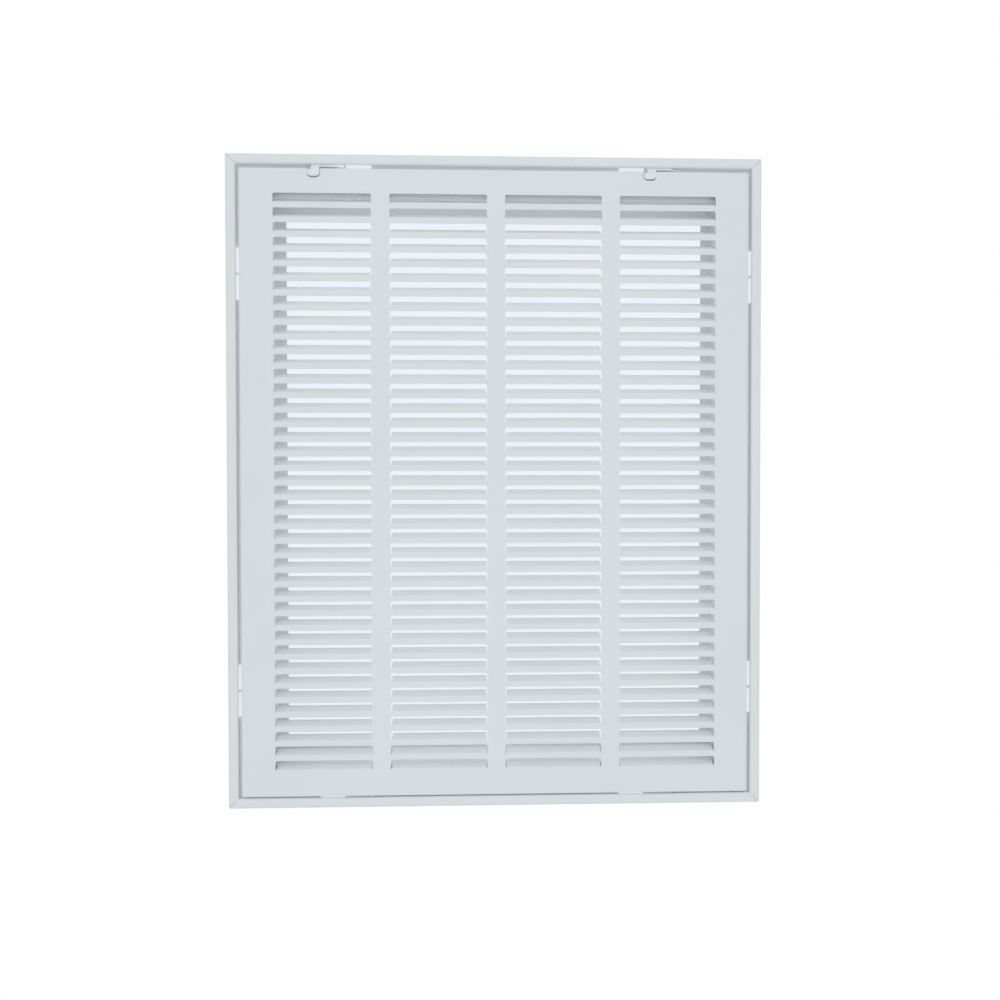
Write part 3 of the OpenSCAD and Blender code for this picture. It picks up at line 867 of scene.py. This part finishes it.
# Studio: soft lamps above, below and behind the grille, an even sky and a pale floor, in metres and watts
studio = {
    "floorHeight": -0.9,
    "floorHalf": 4.0,
    "floorColour": (0.85, 0.86, 0.87),
    "floorRoughness": 0.9,
    "skyColour": (0.955, 0.985, 1.0),
    "skyLevel": 0.66,
    "lampColour": (0.90, 0.985, 1.0),
    "lampSize": 1.2,
    "lamps": {
        "upperLamp": ((0.0, -1.9, 1.6), 7.0),
        "lowerLamp": ((0.0, -1.7, -0.8), 6.0),
        "backLamp": ((0.1, 1.6, 0.4), 8.0),
    },
}
# Painted shade: what shows through the grille is a touch darker and bluer than the white round it, standing
# in for the grille's soft shadow on the backdrop
shadeFilm = {
    "middleShade": (0.86, 0.885, 0.95),
    "middleHalf": (0.1886, 0.2394),  # half sizes of the lip's opening
    "middleAt": 0.0262,
    "ringShade": (0.80, 0.83, 0.91),
    "ringFrom": (0.1990, 0.2498),  # half sizes outside the collar, and inside the rim
    "ringTo": (0.2335, 0.2843),
    "ringAt": 0.0003,
}


# Shows the first shader where share is 0 and the second where it is 1
def mixInto(tree, share, first, second, output):
    mix = tree.nodes.new("ShaderNodeMixShader")
    tree.links.new(share, mix.inputs["Fac"])
    tree.links.new(first, mix.inputs[1])
    tree.links.new(second, mix.inputs[2])
    tree.links.new(mix.outputs["Shader"], tree.nodes[output].inputs["Surface"])


# 1 for camera, mirror and glass rays, 0 for the rays that carry light
def seenDirectly(tree):
    path = tree.nodes.new("ShaderNodeLightPath")
    seen = path.outputs["Is Camera Ray"]
    for ray in ("Is Glossy Ray", "Is Transmission Ray"):
        larger = tree.nodes.new("ShaderNodeMath")
        larger.operation = "MAXIMUM"
        tree.links.new(seen, larger.inputs[0])
        tree.links.new(path.outputs[ray], larger.inputs[1])
        seen = larger.outputs[0]
    return seen


# White where it is seen, an even soft level where it lights
def addSky():
    world = bpy.data.worlds.new("studioSky")
    bpy.context.scene.world = world
    world.use_nodes = True
    tree = world.node_tree
    light = tree.nodes["Background"]
    light.inputs["Color"].default_value = (*studio["skyColour"], 1.0)
    light.inputs["Strength"].default_value = studio["skyLevel"]
    white = tree.nodes.new("ShaderNodeBackground")
    white.inputs["Color"].default_value = (1.0, 1.0, 1.0, 1.0)
    shown = seenDirectly(tree)
    mixInto(tree, shown, light.outputs["Background"], white.outputs["Background"], "World Output")


# A flat sheet from its corners in metres
def flatSheet(name, corners, faces, material):
    mesh = bpy.data.meshes.new(name)
    mesh.from_pydata(corners, [], faces)
    mesh.materials.append(material)
    return addObject(name, mesh)


# A pale floor far below the grille, white to the camera
def addFloor():
    half, height = studio["floorHalf"], studio["floorHeight"]
    material, tree, surface = newMaterial("studioFloor")
    surface.inputs["Base Color"].default_value = (*studio["floorColour"], 1.0)
    surface.inputs["Roughness"].default_value = studio["floorRoughness"]
    glow = tree.nodes.new("ShaderNodeEmission")
    shown = seenDirectly(tree)
    mixInto(tree, shown, surface.outputs["BSDF"], glow.outputs["Emission"], "Material Output")
    corners = [(-half, -half, height), (half, -half, height), (half, half, height), (-half, half, height)]
    floor = flatSheet("studioFloor", corners, [(0, 1, 2, 3)], material)


# A square soft lamp that faces the middle of the grille
def addLamp(name, place, watts):
    lamp = bpy.data.lights.new(name, "AREA")
    lamp.shape = "SQUARE"
    lamp.size = studio["lampSize"]
    lamp.color = studio["lampColour"]
    lamp.energy = watts
    holder = addObject(name, lamp)
    holder.location = place
    away = holder.location.normalized()
    holder.rotation_mode = "QUATERNION"
    holder.rotation_quaternion = away.to_track_quat("Z", "Y")


# A clear material that darkens and tints what lies behind it as painted shade, for the camera and from its
# front side only
def paintedShadeTint(name, shadeTint):
    material, tree, surface = newMaterial(name)
    tree.nodes.remove(surface)
    path = tree.nodes.new("ShaderNodeLightPath")
    side = tree.nodes.new("ShaderNodeNewGeometry")
    roomSide = tree.nodes.new("ShaderNodeMath")
    roomSide.operation = "SUBTRACT"
    roomSide.use_clamp = True
    tree.links.new(path.outputs["Is Camera Ray"], roomSide.inputs[0])
    tree.links.new(side.outputs["Backfacing"], roomSide.inputs[1])
    clear = tree.nodes.new("ShaderNodeBsdfTransparent")
    shadeLayer = tree.nodes.new("ShaderNodeBsdfTransparent")
    shadeLayer.inputs["Color"].default_value = (*shadeTint, 1.0)
    mixInto(tree, roomSide.outputs[0], clear.outputs["BSDF"], shadeLayer.outputs["BSDF"], "Material Output")
    return material


# A stage film in front of the backdrop, which paints shade onto it
def addShadeFilm(name, corners, faces, shadeTint):
    sheet = flatSheet(name, corners, faces, paintedShadeTint(name, shadeTint))


# The four corners of a rectangle about the origin, at one depth
def rectangle(half, depth):
    wide, tall = half
    return [(-wide, depth, -tall), (wide, depth, -tall), (wide, depth, tall), (-wide, depth, tall)]


# The films of painted shade behind the lip's opening and, as a ring, behind the slots
def addShadeFilms():
    middle = rectangle(shadeFilm["middleHalf"], shadeFilm["middleAt"])
    addShadeFilm("middleShadeFilm", middle, [(0, 1, 2, 3)], shadeFilm["middleShade"])
    ring = rectangle(shadeFilm["ringFrom"], shadeFilm["ringAt"]) + rectangle(shadeFilm["ringTo"], shadeFilm["ringAt"])
    faces = [(k, 4 + k, 4 + (k + 1) % 4, (k + 1) % 4) for k in range(4)]
    addShadeFilm("ringShadeFilm", ring, faces, shadeFilm["ringShade"])


addCamera()
addSky()
addFloor()
for name, (place, watts) in studio["lamps"].items():
    addLamp(name, place, watts)
addShadeFilms()
bpy.context.scene.view_settings.view_transform = "Standard"
print("studio ready")

bpy.context.view_layer.update()
